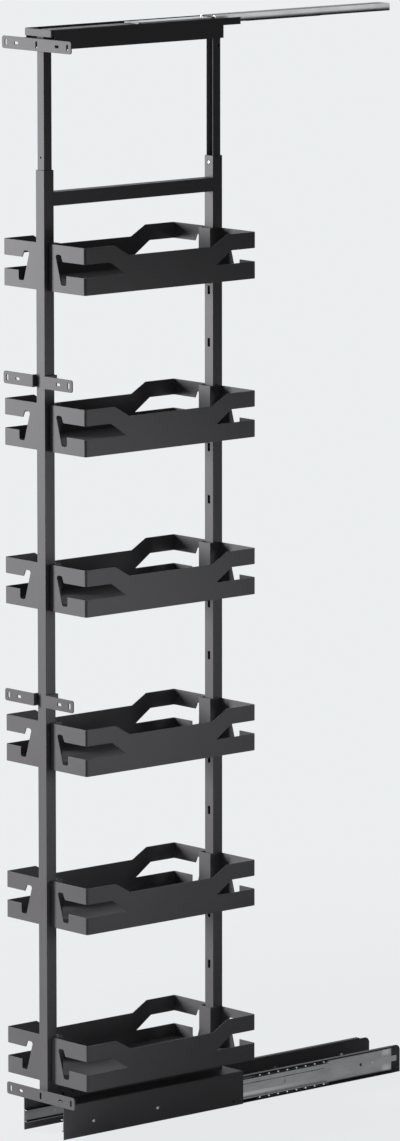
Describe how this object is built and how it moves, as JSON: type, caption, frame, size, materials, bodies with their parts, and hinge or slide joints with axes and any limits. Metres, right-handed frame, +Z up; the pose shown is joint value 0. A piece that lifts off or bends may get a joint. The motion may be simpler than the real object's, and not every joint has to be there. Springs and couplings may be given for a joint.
{
  "type": "pull out larder unit",
  "caption": "Tall pull-out larder unit: notched sheet-steel baskets hung on a telescopic two-post frame that rolls on floor slides and a ceiling slide, with door brackets.",
  "frame": {"origin": "centre of the four floor screws, on the cabinet floor", "axes": "+X across the unit, +Y from the door into the cabinet, +Z up"},
  "size_m": [0.25, 0.9415, 2.231],
  "materials": {
    "powder_coat": "fine satin powder coat, anthracite",
    "slide_steel": "bright zinc-plated strip",
    "fastener": "zinc-plated",
    "ball_steel": "polished",
    "floor_board": "grey coated board",
    "bumper": "moulded"
  },
  "bodies": {
    "base": {"base_bracket": "powder_coat", "floor_slide_outer_left": "slide_steel", "floor_slide_outer_right": "slide_steel", "base_rivets": "fastener"},
    "floor_middle": {"floor_slide_middle_left": "slide_steel", "floor_slide_middle_right": "slide_steel"},
    "floor_outer_cage": {"floor_outer_cages": "slide_steel", "floor_outer_balls": "ball_steel"},
    "floor_inner_cage": {"floor_inner_cages": "slide_steel", "floor_inner_balls": "ball_steel"},
    "carriage": {"carriage_cover": "powder_coat", "floor_slide_inner_left": "slide_steel", "floor_slide_inner_right": "slide_steel", "slide_screws": "fastener", "lower_beam": "powder_coat", "front_post": "powder_coat", "rear_post": "powder_coat", "crossbar": "powder_coat", "bottom_door_bracket": "powder_coat", "lower_door_bracket": "powder_coat", "upper_door_bracket": "powder_coat", "bracket_screws": "fastener", "clamp_screws": "fastener"},
    "ceiling_rail": {"ceiling_slide_outer": "slide_steel"},
    "ceiling_middle": {"ceiling_slide_middle": "slide_steel", "slide_buffer": "bumper"},
    "ceiling_outer_cage_body": {"ceiling_outer_cage": "slide_steel", "ceiling_outer_balls": "ball_steel"},
    "ceiling_inner_cage_body": {"ceiling_inner_cage": "slide_steel", "ceiling_inner_balls": "ball_steel"},
    "upper_frame": {"front_upper_post": "powder_coat", "rear_upper_post": "powder_coat", "top_tray": "powder_coat", "top_door_bracket": "powder_coat", "tray_screws": "fastener", "ceiling_slide_inner": "slide_steel"},
    "basket_1": {"basket_1_shell": "powder_coat", "basket_1_hangers": "powder_coat", "basket_1_floor": "floor_board"},
    "basket_2": {"basket_2_shell": "powder_coat", "basket_2_hangers": "powder_coat", "basket_2_floor": "floor_board"},
    "basket_3": {"basket_3_shell": "powder_coat", "basket_3_hangers": "powder_coat", "basket_3_floor": "floor_board"},
    "basket_4": {"basket_4_shell": "powder_coat", "basket_4_hangers": "powder_coat", "basket_4_floor": "floor_board"},
    "basket_5": {"basket_5_shell": "powder_coat", "basket_5_hangers": "powder_coat", "basket_5_floor": "floor_board"},
    "basket_6": {"basket_6_shell": "powder_coat", "basket_6_hangers": "powder_coat", "basket_6_floor": "floor_board"}
  },
  "joints": [
    {"name": "main_slide", "type": "slide", "parent": "base", "child": "carriage", "axis": [0, 1, 0], "range_m": [0, 0.427]},
    {"name": "floor_middle_slide", "type": "slide", "parent": "base", "child": "floor_middle", "axis": [0, 1, 0], "range_m": [0, 0.1855]},
    {"name": "floor_outer_cage_slide", "type": "slide", "parent": "base", "child": "floor_outer_cage", "axis": [0, 1, 0], "range_m": [0, 0.093]},
    {"name": "floor_inner_cage_slide", "type": "slide", "parent": "base", "child": "floor_inner_cage", "axis": [0, 1, 0], "range_m": [0, 0.3065]},
    {"name": "ceiling_height", "type": "slide", "parent": "base", "child": "ceiling_rail", "axis": [0, 0, 1], "range_m": [-0.15, 0.1]},
    {"name": "ceiling_middle_slide", "type": "slide", "parent": "ceiling_rail", "child": "ceiling_middle", "axis": [0, 1, 0], "range_m": [0, 0.1945]},
    {"name": "ceiling_outer_cage_slide", "type": "slide", "parent": "ceiling_rail", "child": "ceiling_outer_cage_body", "axis": [0, 1, 0], "range_m": [0, 0.0975]},
    {"name": "ceiling_inner_cage_slide", "type": "slide", "parent": "ceiling_rail", "child": "ceiling_inner_cage_body", "axis": [0, 1, 0], "range_m": [0, 0.311]},
    {"name": "upper_frame_height", "type": "slide", "parent": "carriage", "child": "upper_frame", "axis": [0, 0, 1], "range_m": [-0.15, 0.1]},
    {"name": "basket_1_lift", "type": "slide", "parent": "carriage", "child": "basket_1", "axis": [0, 0, 1], "range_m": [0, 0.008]},
    {"name": "basket_2_lift", "type": "slide", "parent": "carriage", "child": "basket_2", "axis": [0, 0, 1], "range_m": [0, 0.008]},
    {"name": "basket_3_lift", "type": "slide", "parent": "carriage", "child": "basket_3", "axis": [0, 0, 1], "range_m": [0, 0.008]},
    {"name": "basket_4_lift", "type": "slide", "parent": "carriage", "child": "basket_4", "axis": [0, 0, 1], "range_m": [0, 0.008]},
    {"name": "basket_5_lift", "type": "slide", "parent": "carriage", "child": "basket_5", "axis": [0, 0, 1], "range_m": [0, 0.008]},
    {"name": "basket_6_lift", "type": "slide", "parent": "carriage", "child": "basket_6", "axis": [0, 0, 1], "range_m": [0, 0.008]}
  ],
  "couplings": [
    {"joint": "floor_middle_slide", "follows": "main_slide", "ratio": 0.43326},
    {"joint": "floor_outer_cage_slide", "follows": "main_slide", "ratio": 0.21663},
    {"joint": "floor_inner_cage_slide", "follows": "main_slide", "ratio": 0.71663},
    {"joint": "ceiling_middle_slide", "follows": "main_slide", "ratio": 0.45433},
    {"joint": "ceiling_outer_cage_slide", "follows": "main_slide", "ratio": 0.22717},
    {"joint": "ceiling_inner_cage_slide", "follows": "main_slide", "ratio": 0.72717},
    {"joint": "upper_frame_height", "follows": "ceiling_height", "ratio": 1}
  ]
}
